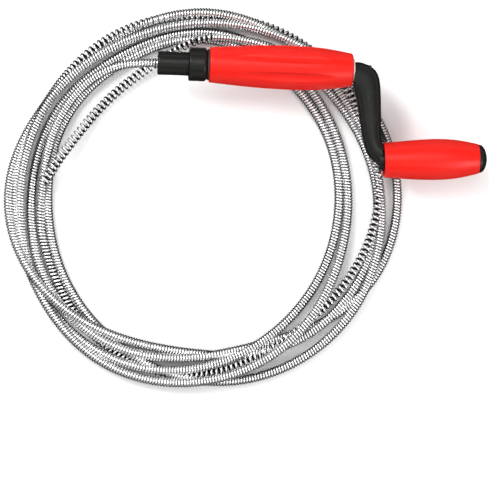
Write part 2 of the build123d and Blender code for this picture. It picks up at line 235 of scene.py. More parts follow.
def rounded(corners, samples=6):
    """A closed outline whose corners, (x, r, radius), are rounded by blending to their neighbours.

    Each corner is a quadratic curve between the points one radius before and after it.
    """
    spots = np.array([c[:2] for c in corners], float)
    radii = np.array([c[2] for c in corners], float)
    outline = []
    for spot, before, after, radius in zip(spots, np.roll(spots, 1, 0), np.roll(spots, -1, 0), radii):
        if radius <= 0:
            outline.append(spot[None])
            continue
        enter = spot + (before - spot) / np.linalg.norm(before - spot) * radius
        leave = spot + (after - spot) / np.linalg.norm(after - spot) * radius
        t = np.linspace(0, 1, samples)[:, None]
        outline.append((1 - t) ** 2 * enter + 2 * t * (1 - t) * spot + t ** 2 * leave)
    return np.concatenate(outline)


# ---------------------------------------------------------------- the cable's line

def settle(radii, diameter):
    """Heights of the turns in one direction, so that each rests on those below it.

    radii has a row for each direction and a column for each turn, with nan where there is none.
    Going up the stack, a turn lies on the ground or a diameter from each lower turn that it
    overlaps: its height is theirs plus the square root of diameter squared less offset squared.
    """
    heights = np.full(radii.shape, diameter / 2)
    per_sector = len(radii) // len(TURNS_FROM_GROUND)
    for row, turn_radii in enumerate(radii):
        sector = int(round(row / per_sector)) % len(TURNS_FROM_GROUND)
        laid = []
        for digit in TURNS_FROM_GROUND[sector]:
            turn = int(digit) - 1
            if np.isnan(turn_radii[turn]):
                continue
            for lower in laid:
                offset = abs(turn_radii[turn] - turn_radii[lower])
                if offset < diameter:
                    rest = heights[row, lower] + np.sqrt(diameter ** 2 - offset ** 2)
                    heights[row, turn] = max(heights[row, turn], rest)
            laid.append(turn)
    return heights


def coil_points(points_per_turn, diameter):
    """The coil's control points: radius through TURN_RADII, height by settling and smoothing.

    The smoothing and the cap on the height let many turns cut into each other where they cross.
    """
    rows = np.concatenate([np.array(row) for row in TURN_RADII])
    knots = COIL_START + float(KNOT_SPACING) * np.arange(len(rows))
    step = 360 // points_per_turn
    angles = np.arange(COIL_START + step, knots[-1] - LAST_TURN_LEFT_OUT, step)
    radius = smooth_through(knots, rows, angles)
    whole = np.full(points_per_turn * len(TURN_RADII), np.nan)
    whole[1:1 + len(angles)] = radius
    by_direction = whole.reshape(len(TURN_RADII), points_per_turn).T
    nested = NEST_SHARE * diameter
    height = settle(by_direction, nested).T.reshape(-1)[1:1 + len(angles)]
    height += (diameter - nested) / 2
    for _ in range(SMOOTHING_PASSES):
        padded = np.pad(height, len(SMOOTHING) // 2, mode="edge")
        height = np.convolve(padded, SMOOTHING, mode="valid")
    height = np.clip(height, diameter / 2, HIGHEST_TURN * diameter)
    turned = np.radians(angles)
    return np.stack([radius * np.cos(turned), radius * np.sin(turned), height], -1)


def spline_line(control_points):
    """The smooth line of a NURBS spline of order 3 through its two end points."""
    curve = bpy.data.curves.new("cable_line", "CURVE")
    curve.dimensions = "3D"
    curve.resolution_u = 8
    spline = curve.splines.new("NURBS")
    spline.points.add(len(control_points) - 1)
    four = np.ones((len(control_points), 4))
    four[:, :3] = control_points
    spline.points.foreach_set("co", four.ravel())
    spline.order_u = 3
    spline.use_endpoint_u = True
    holder = bpy.data.objects.new("cable_line", curve)
    mesh = bpy.data.meshes.new_from_object(holder)
    line = np.empty(len(mesh.vertices) * 3)
    mesh.vertices.foreach_get("co", line)
    bpy.data.objects.remove(holder)
    bpy.data.curves.remove(curve)
    bpy.data.meshes.remove(mesh)
    return line.reshape(-1, 3)


def cable_line(settings):
    """The whole cable's line, in metres, and the index where the auger head starts."""
    start = to_row(HANDLE, [(x * MM, 0, 0) for x in LEAD_ALONG_SHAFT])
    lead = np.array(LEAD_ROUTE) * MM
    coil = coil_points(settings.points_per_turn, settings.cable_width / MM) * MM
    head = np.array(HEAD_ROUTE) * MM
    line = spline_line(np.concatenate([start, lead, coil, head]))
    near_head = np.linalg.norm(line - head[1], axis=1)
    return line, int(near_head.argmin())


def wire_along(line, pitches, coil_radii, wire_radius, per_turn, sides, phase=0.0):
    """A wire wound on a line, as points, faces and how far each point faces outwards.

    The winding angle grows by a full turn in each pitch of length. A point of the wire's middle
    is the line's point plus coil radius times (cos angle) across it and (sin angle) upwards.
    Round each middle point lies a ring with that many sides, square to the wire.
    """
    run = np.concatenate([[0], np.cumsum(np.linalg.norm(np.diff(line, axis=0), axis=1))])
    fine = np.arange(0, run[-1], WINDING_STEP)
    fine_pitch = np.interp(fine, run, pitches)
    wound = np.concatenate([[0], np.cumsum(TAU * np.diff(fine) / fine_pitch[:-1])])
    angle = np.arange(0, wound[-1], TAU / per_turn)
    along = np.interp(angle, wound, fine)
    middle = np.stack([np.interp(along, run, line[:, k]) for k in range(3)], -1)
    forward = np.gradient(middle, axis=0)
    forward /= np.linalg.norm(forward, axis=1, keepdims=True)
    across = np.cross(forward, (0.0, 0.0, 1.0))
    across /= np.linalg.norm(across, axis=1, keepdims=True)
    upward = np.cross(across, forward)
    turned = (angle + phase)[:, None]
    outward = np.cos(turned) * across + np.sin(turned) * upward
    radius = np.interp(along, run, coil_radii)[:, None]
    wire = middle + radius * outward
    heading = np.gradient(wire, axis=0)
    heading /= np.linalg.norm(heading, axis=1, keepdims=True)
    sideways = np.cross(heading, outward)
    sideways /= np.linalg.norm(sideways, axis=1, keepdims=True)
    ring = np.linspace(0, TAU, sides, endpoint=False)
    points = wire[:, None] + wire_radius * (
        np.cos(ring)[None, :, None] * outward[:, None] + np.sin(ring)[None, :, None] * sideways[:, None]
    )
    count = len(wire)
    faces = grid_faces(count, sides, False)
    faces.append(list(range(sides)))
    faces.append(list(range(count * sides - 1, (count - 1) * sides - 1, -1)))
    # How far each point faces outwards: the mask of the wire's painted shade.
    facing = np.tile(0.5 + 0.5 * np.cos(ring), count)
    return points.reshape(-1, 3), faces, facing, wound[-1] + phase


def mark_outside(piece, facing):
    """Keep on each point how far it faces away from the winding's middle, for the wire's painted shade.
    """
    layer = piece.data.attributes.new("outside", "FLOAT", "POINT")
    layer.data.foreach_set("value", facing.astype(np.float32))


# ---------------------------------------------------------------- shared shader groups

def node_of(tree, kind, x, y, **values):
    """A node with its settings and its sockets' constants set."""
    node = tree.nodes.new(kind)
    node.location = (x, y)
    for key, value in values.items():
        if hasattr(node, key):
            setattr(node, key, value)
        else:
            node.inputs[key.replace("_", " ")].default_value = value
    return node


def mould_grain_group():
    """Fine moulded grain: a height for bump and a slow mottling between nought and one."""
    group = bpy.data.node_groups.get("Mould grain")
    if group:
        return group
    group = bpy.data.node_groups.new("Mould grain", "ShaderNodeTree")
    group.interface.new_socket("Grain scale", in_out="INPUT", socket_type="NodeSocketFloat")
    group.interface.new_socket("Mottle scale", in_out="INPUT", socket_type="NodeSocketFloat")
    group.interface.new_socket("Height", in_out="OUTPUT", socket_type="NodeSocketFloat")
    group.interface.new_socket("Mottle", in_out="OUTPUT", socket_type="NodeSocketFloat")
    ends = group.nodes.new("NodeGroupInput"), group.nodes.new("NodeGroupOutput")
    place = node_of(group, "ShaderNodeTexCoord", -600, 200)
    grain = node_of(group, "ShaderNodeTexNoise", -300, 200, Detail=4.0, Roughness=0.6)
    pores = node_of(group, "ShaderNodeTexVoronoi", -300, -60)
    mottle = node_of(group, "ShaderNodeTexNoise", -300, -300, Detail=3.0, Roughness=0.55)
    blend = node_of(group, "ShaderNodeMath", 0, 100, operation="MULTIPLY")
    links = group.links
    for texture in (grain, pores, mottle):
        links.new(place.outputs["Object"], texture.inputs["Vector"])
    links.new(ends[0].outputs["Grain scale"], grain.inputs["Scale"])
    links.new(ends[0].outputs["Grain scale"], pores.inputs["Scale"])
    links.new(ends[0].outputs["Mottle scale"], mottle.inputs["Scale"])
    links.new(grain.outputs["Fac"], blend.inputs[0])
    links.new(pores.outputs["Distance"], blend.inputs[1])
    links.new(blend.outputs["Value"], ends[1].inputs["Height"])
    links.new(mottle.outputs["Fac"], ends[1].inputs["Mottle"])
    return group


def handling_group():
    """Scuffs from handling: thin broken scratches and dull patches, each nought to one."""
    group = bpy.data.node_groups.get("Handling marks")
    if group:
        return group
    group = bpy.data.node_groups.new("Handling marks", "ShaderNodeTree")
    group.interface.new_socket("Scratch scale", in_out="INPUT", socket_type="NodeSocketFloat")
    group.interface.new_socket("Patch scale", in_out="INPUT", socket_type="NodeSocketFloat")
    group.interface.new_socket("Scratches", in_out="OUTPUT", socket_type="NodeSocketFloat")
    group.interface.new_socket("Patches", in_out="OUTPUT", socket_type="NodeSocketFloat")
    ends = group.nodes.new("NodeGroupInput"), group.nodes.new("NodeGroupOutput")
    place = node_of(group, "ShaderNodeTexCoord", -900, 200)
    stretch = node_of(group, "ShaderNodeMapping", -700, 200)
    stretch.inputs["Scale"].default_value = (1.0, 9.0, 9.0)
    stretch.inputs["Rotation"].default_value = (0.3, 0.2, 0.35)
    scratch = node_of(group, "ShaderNodeTexNoise", -450, 200, Detail=6.0, Roughness=0.7)
    thin = node_of(group, "ShaderNodeMapRange", -200, 200)
    thin.inputs["From Min"].default_value = 0.63
    thin.inputs["From Max"].default_value = 0.72
    patch = node_of(group, "ShaderNodeTexNoise", -450, -150, Detail=5.0, Roughness=0.6)
    dull = node_of(group, "ShaderNodeMapRange", -200, -150)
    dull.inputs["From Min"].default_value = 0.42
    dull.inputs["From Max"].default_value = 0.68
    links = group.links
    links.new(place.outputs["Object"], stretch.inputs["Vector"])
    links.new(stretch.outputs["Vector"], scratch.inputs["Vector"])
    links.new(place.outputs["Object"], patch.inputs["Vector"])
    links.new(ends[0].outputs["Scratch scale"], scratch.inputs["Scale"])
    links.new(ends[0].outputs["Patch scale"], patch.inputs["Scale"])
    links.new(scratch.outputs["Fac"], thin.inputs["Value"])
    links.new(patch.outputs["Fac"], dull.inputs["Value"])
    links.new(thin.outputs["Result"], ends[1].inputs["Scratches"])
    links.new(dull.outputs["Result"], ends[1].inputs["Patches"])
    return group


# How fine the mottling, scratches and patches are, and how much they add to the roughness.
MOTTLE_SCALE = 38.0
SCRATCH_SCALE = 140.0
PATCH_SCALE = 55.0
METAL_PATCH_SCALE = 60.0
HANDLED_DULLING = 0.14
SCRATCH_DULLING = 0.12
# Between these two shares of facing away from the winding's middle, the painted shade on the wire's
# inward side gives way to the bright wire colour.
PAINTED_SHADE_UP_TO, UNSHADED_FROM = 0.32, 0.86


def blank_material(name):
    """A new material, its node tree and its Principled shader."""
    material = bpy.data.materials.new(name)
    material.use_nodes = True
    return material, material.node_tree, material.node_tree.nodes["Principled BSDF"]


def mixed_colour(tree, factor, first, second, x, y):
    """A mix of two fixed colours by a factor that changes over the surface."""
    mix = tree.nodes.new("ShaderNodeMix")
    mix.location = (x, y)
    mix.data_type = "RGBA"
    mix.inputs["A"].default_value = (*first, 1.0)
    mix.inputs["B"].default_value = (*second, 1.0)
    tree.links.new(factor, mix.inputs["Factor"])
    return mix.outputs["Result"]


def ranged(tree, value, low, high, x, y):
    """A value from nought to one spread between two limits."""
    spread = node_of(tree, "ShaderNodeMapRange", x, y)
    spread.inputs["To Min"].default_value = low
    spread.inputs["To Max"].default_value = high
    tree.links.new(value, spread.inputs["Value"])
    return spread.outputs["Result"]


def moulded_plastic(name, colour, pale, *, roughness, grain_scale, grain_depth, gloss=0.5):
    """Moulded plastic: mottled colour, grain in its bump, and scuffs in its roughness."""
    existing = bpy.data.materials.get(name)
    if existing:
        return existing
    material, tree, shader = blank_material(name)
    grain = node_of(tree, "ShaderNodeGroup", -900, 200)
    grain.node_tree = mould_grain_group()
    grain.inputs["Grain scale"].default_value = grain_scale
    grain.inputs["Mottle scale"].default_value = MOTTLE_SCALE
    marks = node_of(tree, "ShaderNodeGroup", -900, -100)
    marks.node_tree = handling_group()
    marks.inputs["Scratch scale"].default_value = SCRATCH_SCALE
    marks.inputs["Patch scale"].default_value = PATCH_SCALE
    colour_out = mixed_colour(tree, grain.outputs["Mottle"], colour, pale, -500, 300)
    tree.links.new(colour_out, shader.inputs["Base Color"])
    duller = roughness + HANDLED_DULLING
    rough = ranged(tree, marks.outputs["Patches"], roughness, duller, -500, 0)
    scuffed = node_of(tree, "ShaderNodeMath", -300, 0, operation="MULTIPLY_ADD")
    scuffed.inputs[1].default_value = SCRATCH_DULLING
    tree.links.new(marks.outputs["Scratches"], scuffed.inputs[0])
    tree.links.new(rough, scuffed.inputs[2])
    tree.links.new(scuffed.outputs["Value"], shader.inputs["Roughness"])
    bump = node_of(tree, "ShaderNodeBump", -300, -250, Strength=0.35, Distance=grain_depth)
    tree.links.new(grain.outputs["Height"], bump.inputs["Height"])
    tree.links.new(bump.outputs["Normal"], shader.inputs["Normal"])
    shader.inputs["Specular IOR Level"].default_value = gloss
    return material


def bright_metal(name, colour, dull, *, low, high, scratch_scale):
    """Bright metal: scratches in its bump, and dull patches in its colour and roughness.

    Its roughness lies between low and high.
    """
    existing = bpy.data.materials.get(name)
    if existing:
        return existing
    material, tree, shader = blank_material(name)
    marks = node_of(tree, "ShaderNodeGroup", -800, 0)
    marks.node_tree = handling_group()
    marks.inputs["Scratch scale"].default_value = scratch_scale
    marks.inputs["Patch scale"].default_value = METAL_PATCH_SCALE
    tint = mixed_colour(tree, marks.outputs["Patches"], colour, dull, -400, 250)
    tree.links.new(tint, shader.inputs["Base Color"])
    rough = ranged(tree, marks.outputs["Patches"], low, high, -400, 0)
    tree.links.new(rough, shader.inputs["Roughness"])
    bump = node_of(tree, "ShaderNodeBump", -400, -250, Strength=0.15, Distance=0.00003)
    tree.links.new(marks.outputs["Scratches"], bump.inputs["Height"])
    tree.links.new(bump.outputs["Normal"], shader.inputs["Normal"])
    shader.inputs["Metallic"].default_value = 1.0
    return material


def red_plastic():
    """The grips' red satin plastic."""
    colours = bpy.context.scene.auger_finish
    return moulded_plastic(
        "satin_red", colours.grip_red, colours.grip_red_pale,
        roughness=0.3, grain_scale=2600.0, grain_depth=0.00006, gloss=0.2)


def black_plastic():
    """The black satin plastic of the arm, nozzle, collar and cap."""
    colours = bpy.context.scene.auger_finish
    return moulded_plastic(
        "satin_black", colours.black, colours.black_pale,
        roughness=0.25, grain_scale=3200.0, grain_depth=0.00008, gloss=0.2)


def spring_steel():
    """The cable's bright plated wire, with painted shade on the side that faces into the winding."""
    existing = bpy.data.materials.get("plated_wire")
    if existing:
        return existing
    colours = bpy.context.scene.auger_finish
    material = bright_metal(
        "plated_wire", colours.wire, colours.wire_dull, low=0.24, high=0.36, scratch_scale=900.0)
    tree = material.node_tree
    shader = tree.nodes["Principled BSDF"]
    bright = shader.inputs["Base Color"].links[0].from_socket
    # Painted shade: the wire's side that faces into the winding is mixed towards a near-black colour,
    # darkest where it faces straight inwards.
    outside = node_of(tree, "ShaderNodeAttribute", -700, 500, attribute_name="outside")
    unshaded_share = node_of(tree, "ShaderNodeMapRange", -450, 500)
    unshaded_share.inputs["From Min"].default_value = PAINTED_SHADE_UP_TO
    unshaded_share.inputs["From Max"].default_value = UNSHADED_FROM
    painted_shade_mix = node_of(tree, "ShaderNodeMix", -180, 350, data_type="RGBA")
    painted_shade_mix.inputs["A"].default_value = (*colours.wire_painted_shade, 1.0)
    tree.links.new(outside.outputs["Fac"], unshaded_share.inputs["Value"])
    tree.links.new(unshaded_share.outputs["Result"], painted_shade_mix.inputs["Factor"])
    tree.links.new(bright, painted_shade_mix.inputs["B"])
    tree.links.new(painted_shade_mix.outputs["Result"], shader.inputs["Base Color"])
    return material


def turned_steel():
    """The bright steel of the shaft, spindle, pins, screws, ferrule, washers and ring."""
    return bright_metal(
        "turned_steel", (0.66, 0.66, 0.65), (0.45, 0.45, 0.44),
        low=0.2, high=0.4, scratch_scale=260.0)


def natural_acetal():
    """The bushes' ivory plastic."""
    return moulded_plastic(
        "natural_acetal", (0.8, 0.79, 0.74), (0.72, 0.71, 0.66),
        roughness=0.4, grain_scale=1800.0, grain_depth=0.00004)


def matt_washer():
    """The dark plastic of the front thrust washer."""
    return moulded_plastic(
        "matt_washer", (0.012, 0.012, 0.012), (0.03, 0.03, 0.03),
        roughness=0.5, grain_scale=1800.0, grain_depth=0.00004)


# The finish of each slot whose pieces stay as they were packed.
FINISHES = {"bright_steel": turned_steel, "acetal": natural_acetal, "dark_washer": matt_washer}


# ---------------------------------------------------------------- properties

class CableSettings(bpy.types.PropertyGroup):
    """Sizes of the spring cable."""

    cable_width: bpy.props.FloatProperty(
        name="Cable width", description="Outside diameter of the winding", default=0.008,
        unit="LENGTH")
    wire_width: bpy.props.FloatProperty(
        name="Wire width", description="Diameter of the wire that is wound", default=0.0021,
        unit="LENGTH")
    head_swell: bpy.props.FloatProperty(
        name="Head swell", description="How much wider the head's last loops are", default=0.0022,
        unit="LENGTH")
    head_pitch: bpy.props.FloatProperty(
        name="Head pitch", description="Distance from loop to loop in the auger head",
        default=0.00415, unit="LENGTH")
    points_per_turn: bpy.props.IntProperty(
        name="Points per turn", description="Control points in each turn of the coil", default=36)
    steps_per_loop: bpy.props.IntProperty(
        name="Steps per loop", description="Straight steps in each loop of the wire", default=9)


class GripSettings(bpy.types.PropertyGroup):
    """Sizes of the two red grips."""

    flute_count: bpy.props.IntProperty(
        name="Flutes", description="Lengthwise flutes round the main grip", default=7)
    flute_depth: bpy.props.FloatProperty(
        name="Flute depth", description="Depth of a flute at the grip's belly", default=0.0019,
        unit="LENGTH")
    flute_start: bpy.props.FloatProperty(
        name="Flute start", description="Where the first flute's middle lies round the axis",
        default=float(np.radians(68.3)), subtype="ANGLE")
    flute_radius: bpy.props.FloatProperty(
        name="Flute radius", description="Radius of a flute's hollow", default=0.006,
        unit="LENGTH")
    belly_share: bpy.props.FloatProperty(
        name="Crank grip belly", description="Where the crank grip is widest, as a share",
        default=0.53, subtype="FACTOR")


class FinishSettings(bpy.types.PropertyGroup):
    """Colours of the finishes."""

    grip_red: bpy.props.FloatVectorProperty(
        name="Grip red", description="Main colour of the grips", default=(0.6, 0.007, 0.0035),
        subtype="COLOR")
    grip_red_pale: bpy.props.FloatVectorProperty(
        name="Pale grip red", description="Mottling in the grips' red",
        default=(0.66, 0.012, 0.006), subtype="COLOR")
    black: bpy.props.FloatVectorProperty(
        name="Black", description="Colour of the black mouldings",
        default=(0.0065, 0.0065, 0.006), subtype="COLOR")
    black_pale: bpy.props.FloatVectorProperty(
        name="Pale black", description="Mottling in the black mouldings",
        default=(0.01, 0.01, 0.0094), subtype="COLOR")
    wire: bpy.props.FloatVectorProperty(
        name="Wire", description="Colour of the bright wire", default=(0.93, 0.933, 0.935),
        subtype="COLOR")
    wire_dull: bpy.props.FloatVectorProperty(
        name="Dull wire", description="Colour of the wire's dull patches",
        default=(0.8, 0.804, 0.806), subtype="COLOR")
    # Painted shade: the near-black colour painted on the wire's side that faces into the winding.
    wire_painted_shade: bpy.props.FloatVectorProperty(
        name="Wire painted shade", description="Colour of the wire's side that faces into the winding",
        default=(0.025, 0.025, 0.026), subtype="COLOR")


class StageSettings(bpy.types.PropertyGroup):
    """The camera and the light."""

    camera_height: bpy.props.FloatProperty(
        name="Camera height", description="Height of the camera above the floor", default=2.2,
        unit="LENGTH")
    view_height: bpy.props.FloatProperty(
        name="View height", description="Length of floor that the picture takes in",
        default=0.4057, unit="LENGTH")
    centre_x: bpy.props.FloatProperty(
        name="Centre X", description="Where the camera stands along X", default=0.0362,
        unit="LENGTH")
    centre_y: bpy.props.FloatProperty(
        name="Centre Y", description="Where the camera stands along Y", default=-0.0402,
        unit="LENGTH")
    roll: bpy.props.FloatProperty(
        name="Roll", description="How far the camera is turned about its own line",
        default=float(np.radians(1.94)), subtype="ANGLE")
    key_power: bpy.props.FloatProperty(
        name="Key power", description="Power of the main softbox", default=36.0)
    fill_power: bpy.props.FloatProperty(
        name="Fill power", description="Power of the second softbox", default=18.0)
    top_power: bpy.props.FloatProperty(
        name="Top power", description="Power of the softbox above", default=5.0)
    tent_strength: bpy.props.FloatProperty(
        name="Tent strength", description="Brightness of the light tent", default=1.0)


# ---------------------------------------------------------------- operators

class AUGER_OT_stage(bpy.types.Operator):
    """Make the pale floor, the softboxes and the camera"""

    bl_idname = "auger.stage"
    bl_label = "Stage"

    def execute(self, context):
        settings = context.scene.auger_stage
        floor_mesh = bpy.data.meshes.new("floor")
        half = FLOOR_HALF
        floor_mesh.from_pydata(
            [(-half, -half, 0), (half, -half, 0), (half, half, 0), (-half, half, 0)], [],
            [(0, 1, 2, 3)])
        floor = bpy.data.objects.new("floor", floor_mesh)
        context.collection.objects.link(floor)
        material, _, shader = blank_material("pale_floor")
        shader.inputs["Base Color"].default_value = FLOOR_WHITE
        shader.inputs["Roughness"].default_value = FLOOR_ROUGHNESS
        floor_mesh.materials.append(material)
        floor.visible_glossy = False
        self.add_tent(context, settings.tent_strength)
        self.add_softbox(context, "key_light", KEY_PLACE, KEY_SIZE, settings.key_power)
        self.add_softbox(context, "fill_light", FILL_PLACE, FILL_SIZE, settings.fill_power)
        self.add_softbox(context, "top_light", TOP_PLACE, TOP_SIZE, settings.top_power)
        self.add_camera(context, settings)
        context.scene.view_settings.view_transform = "Standard"
        return {"FINISHED"}

    def add_tent(self, context, strength):
        """A light tent round the object, white overhead and low down, with a darker band between."""
        world = bpy.data.worlds.new("studio")
        context.scene.world = world
        world.use_nodes = True
        tree = world.node_tree
        background = tree.nodes["Background"]
        place = node_of(tree, "ShaderNodeTexCoord", -800, 0)
        parts = node_of(tree, "ShaderNodeSeparateXYZ", -600, 0)
        bands = node_of(tree, "ShaderNodeValToRGB", -400, 0)
        while len(bands.color_ramp.elements) < len(TENT_BANDS):
            bands.color_ramp.elements.new(0.5)
        for element, (height, shade) in zip(bands.color_ramp.elements, TENT_BANDS):
            element.position = height
            element.color = (shade, shade, shade, 1.0)
        tree.links.new(place.outputs["Generated"], parts.inputs["Vector"])
        height = node_of(tree, "ShaderNodeMapRange", -500, -200)
        height.inputs["From Min"].default_value = -1.0
        tree.links.new(parts.outputs["Z"], height.inputs["Value"])
        tree.links.new(height.outputs["Result"], bands.inputs["Fac"])
        tree.links.new(bands.outputs["Color"], background.inputs["Color"])
        background.inputs["Strength"].default_value = strength

    def add_softbox(self, context, name, place, size, power):
        """A square area light that faces the object."""
        data = bpy.data.lights.new(name, "AREA")
        data.shape = "SQUARE"
        data.size = size
        data.energy = power
        light = bpy.data.objects.new(name, data)
        light.location = place
        light.rotation_euler = (-Vector(place)).to_track_quat("-Z", "Y").to_euler()
        context.collection.objects.link(light)

    def add_camera(self, context, settings):
        """A camera that looks straight down, turned about its line by the roll."""
        data = bpy.data.cameras.new("camera")
        data.lens = data.sensor_width * settings.camera_height / settings.view_height
        camera = bpy.data.objects.new("camera", data)
        camera.location = (settings.centre_x, settings.centre_y, settings.camera_height)
        camera.rotation_euler = (0, 0, settings.roll)
        context.collection.objects.link(camera)
        context.scene.camera = camera


class AUGER_OT_cable(bpy.types.Operator):
    """Wind the spring cable along its line and make the open-wound auger head"""

    bl_idname = "auger.cable"
    bl_label = "Cable and auger head"

    def execute(self, context):
        settings = context.scene.auger_cable
        line, head_start = cable_line(settings)
        wire_radius = settings.wire_width / 2
        winding_radius = settings.cable_width / 2 - wire_radius
        cable_run = line[:head_start + 1]
        head_run = line[head_start:]
        gone_round = np.degrees(np.unwrap(np.arctan2(cable_run[:, 1], cable_run[:, 0])))
        pitches = np.interp(gone_round, PITCH_ANGLES, PITCHES) * MM
        near_end = np.linspace(0, 1, len(cable_run))
        pitches = np.where(near_end > HEAD_PITCH_FROM, settings.head_pitch, pitches)
        radii = np.full(len(cable_run), winding_radius)
        points, faces, facing, wound = wire_along(
            cable_run, pitches, radii, wire_radius, settings.steps_per_loop, CABLE_SIDES)
        cable = make_object(
            "spring_cable", points, faces, "root", "spring_wire", spring_steel(),
            "cable_lead", "cable_coil")
        mark_outside(cable, facing)
        share = np.linspace(0, 1, len(head_run))
        swollen = np.clip((share - SWELL_FROM) / (1 - SWELL_FROM), 0, 1) ** SWELL_POWER
        radii = winding_radius + settings.head_swell / 2 * swollen
        pitches = np.full(len(head_run), settings.head_pitch)
        points, faces, facing, _ = wire_along(
            head_run, pitches, radii, wire_radius, HEAD_STEPS_PER_LOOP, HEAD_SIDES, wound % TAU)
        head = make_object(
            "auger_head_wire", points, faces, "root", "spring_wire", spring_steel(), "auger_head")
        mark_outside(head, facing)
        nozzle_front, _, _ = reach("nozzle", HANDLE)
        return {"FINISHED"}


class AUGER_OT_grips(bpy.types.Operator):
    """Make the fluted main grip and the bell-mouthed crank grip"""

    bl_idname = "auger.grips"
    bl_label = "Grips"

    def execute(self, context):
        settings = context.scene.auger_grips
        self.make_main_grip(settings)
        self.make_crank_grip(settings)
        return {"FINISHED"}

    def make_main_grip(self, settings):
        """Barrel with lens-shaped flutes.

        The barrel's radius is a cubic through its front, belly and rear. A flute is a round
        hollow beside the axis: on a ray at angle d from the flute's middle its wall is at
        D cos d less the root of c squared less (D sin d) squared. The surface is the smaller.
        """
        front, rear, belly = reach("main_grip", HANDLE)
        front_r, rear_r = 0.01415, 0.0131
        front_swell, rear_swell, swell_at = 0.93, 0.935, 0.55
        front_round, rear_round_r = 0.0007, 0.0022
        rings, steps = 150, 288
        _, _, bore = reach("front_bush", HANDLE)
        knots = (front, swell_at * front, 0.0, swell_at * rear, rear)
        radii = (front_r, front_swell * belly, belly, rear_swell * belly, rear_r)
        x = np.linspace(front + front_round, rear - rear_round_r, rings)
        outer = np.stack([x, smooth_through(knots, radii, x)], -1)
        front_lip = rounded([(front, bore, 0), (front, outer[0, 1] - front_round, 0)])
        turn = np.linspace(0, np.pi / 2, 9)[1:]
        rear_round = np.stack([
            outer[-1, 0] + rear_round_r * np.sin(turn),
            outer[-1, 1] - rear_round_r * (1 - np.cos(turn))], -1)
        profile = np.concatenate([front_lip, outer, rear_round, [(rear, bore)]])
        centre = belly + settings.flute_radius - settings.flute_depth
        edge_softness, skin = 0.00022, 0.001

        def fluted(x, r, angle):
            spacing = TAU / settings.flute_count
            off = (angle - settings.flute_start + spacing / 2) % spacing - spacing / 2
            inside = np.maximum(settings.flute_radius ** 2 - (centre * np.sin(off)) ** 2, 0)
            wall = centre * np.cos(off) - np.sqrt(inside)
            gap = np.abs(r - wall)
            eased = np.minimum(r, wall) - edge_softness * np.exp(-gap / edge_softness) * 0.5
            return np.where(r > bore + skin, np.where(inside > 0, eased, r), r)

        revolve_profile(
            "main_grip_barrel", HANDLE, profile, steps, "main_grip_body", "red_grip",
            red_plastic(), "main_grip", radius_at=fluted)

    def make_crank_grip(self, settings):
        """Barrel whose radius is a cubic from its rim by its belly to its end, with a bell mouth."""
        front, rear, belly = reach("crank_grip", SPINDLE)
        inner_front, _, bush = reach("crank_inner_bush", SPINDLE)
        rim_r, end_r, mouth_floor_r = 0.0139, 0.0119, 0.0093
        front_swell, rear_swell = 0.935, 0.94
        rim_wall, lip_r, end_chamfer, mouth_curve = 0.0015, 0.0007, 0.0004, 0.8
        outer_start, outer_end, mouth_start = front + 0.0006, rear - 0.0003, front + 0.0008
        cap_socket_r, cap_socket_depth = 0.0095, 0.004
        middle = settings.belly_share * (rear - front)
        x = np.linspace(outer_start, outer_end, 110)
        knots = (front, 0.45 * middle, middle, (middle + rear) / 2, rear)
        radii = (rim_r, front_swell * belly, belly, rear_swell * belly, end_r)
        outer = np.stack([x, smooth_through(knots, radii, x)], -1)
        turn = np.linspace(0, np.pi, 9)[1:-1]
        lip = np.stack([
            front + lip_r - lip_r * np.sin(turn), outer[0, 1] - lip_r + lip_r * -np.cos(turn)], -1)
        mouth_x = np.linspace(mouth_start, inner_front, 14)
        share = (mouth_x - mouth_x[0]) / (mouth_x[-1] - mouth_x[0])
        mouth_rim_r = rim_r - rim_wall
        mouth_r = mouth_rim_r + (mouth_floor_r - mouth_rim_r) * share ** mouth_curve
        mouth = np.stack([mouth_x, mouth_r], -1)[::-1]
        socket_floor = rear - cap_socket_depth
        tail = [(rear, end_r - end_chamfer), (rear, cap_socket_r)]
        seat = [(socket_floor, cap_socket_r), (socket_floor, bush), (inner_front, bush)]
        profile = np.concatenate([lip, outer, tail, seat, mouth])
        revolve_profile(
            "crank_grip_barrel", SPINDLE, profile, 144, "crank_grip_body", "red_grip",
            red_plastic(), "crank_grip")


